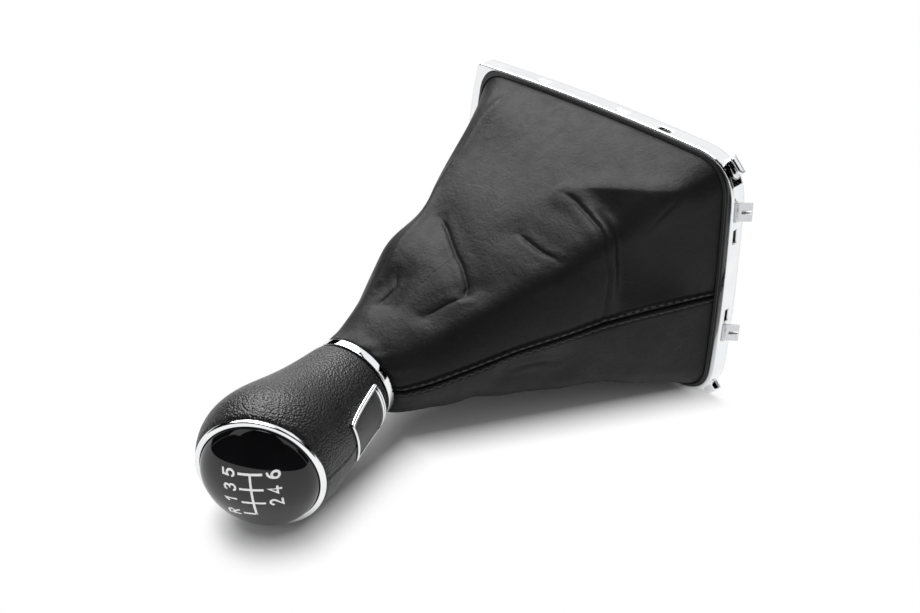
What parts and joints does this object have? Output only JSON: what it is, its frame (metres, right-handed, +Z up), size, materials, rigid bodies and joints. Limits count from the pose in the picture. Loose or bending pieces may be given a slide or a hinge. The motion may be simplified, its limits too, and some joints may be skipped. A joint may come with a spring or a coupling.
{
  "type": "gear shift knob",
  "caption": "Leather-wrapped gear shift knob with a glossy domed cap showing the gate pattern, a chrome collar, and a leather gaiter sewn into a chrome snap-in console bezel.",
  "frame": {"origin": "middle of the bounding box, on the plane of the bezel's lower edge", "axes": "+Z up out of the console towards the knob, +Y towards the front of the car, +X towards the car's right side"},
  "size_m": [0.1178, 0.1603, 0.209],
  "materials": {
    "chrome": "polished",
    "gaiter_leather": "smooth satin",
    "knob_leather": "fine grain",
    "black_plastic": "matte",
    "gloss_black": "high gloss",
    "spring_steel": "plated",
    "white_print": "printed inlay",
    "badge_grey": "dark anodised"
  },
  "bodies": {
    "frame": {"bezel": "chrome", "gaiter_frame": "black_plastic", "gaiter_panel_right": "gaiter_leather", "gaiter_panel_left": "gaiter_leather", "clip_rear_right": "spring_steel", "clip_rear_left": "spring_steel"},
    "knob": {"collar_ring": "chrome", "knob_core": "black_plastic", "knob_skin": "knob_leather", "badge_frame": "chrome", "badge_plate": "badge_grey", "lever_sleeve": "black_plastic", "sleeve_clamp": "spring_steel", "gaiter_tie": "black_plastic", "cap_carrier": "black_plastic", "cap_ring": "chrome", "cap_dome": "gloss_black", "shift_pattern": "white_print"}
  },
  "joints": [
    {"name": "shift", "type": "hinge", "parent": "frame", "child": "knob", "pos_m": [0, 0.005, -0.055], "axis": [1, 0, 0], "range_deg": [-12, 12], "deforming": ["gaiter_panel_right", "gaiter_panel_left"]}
  ]
}
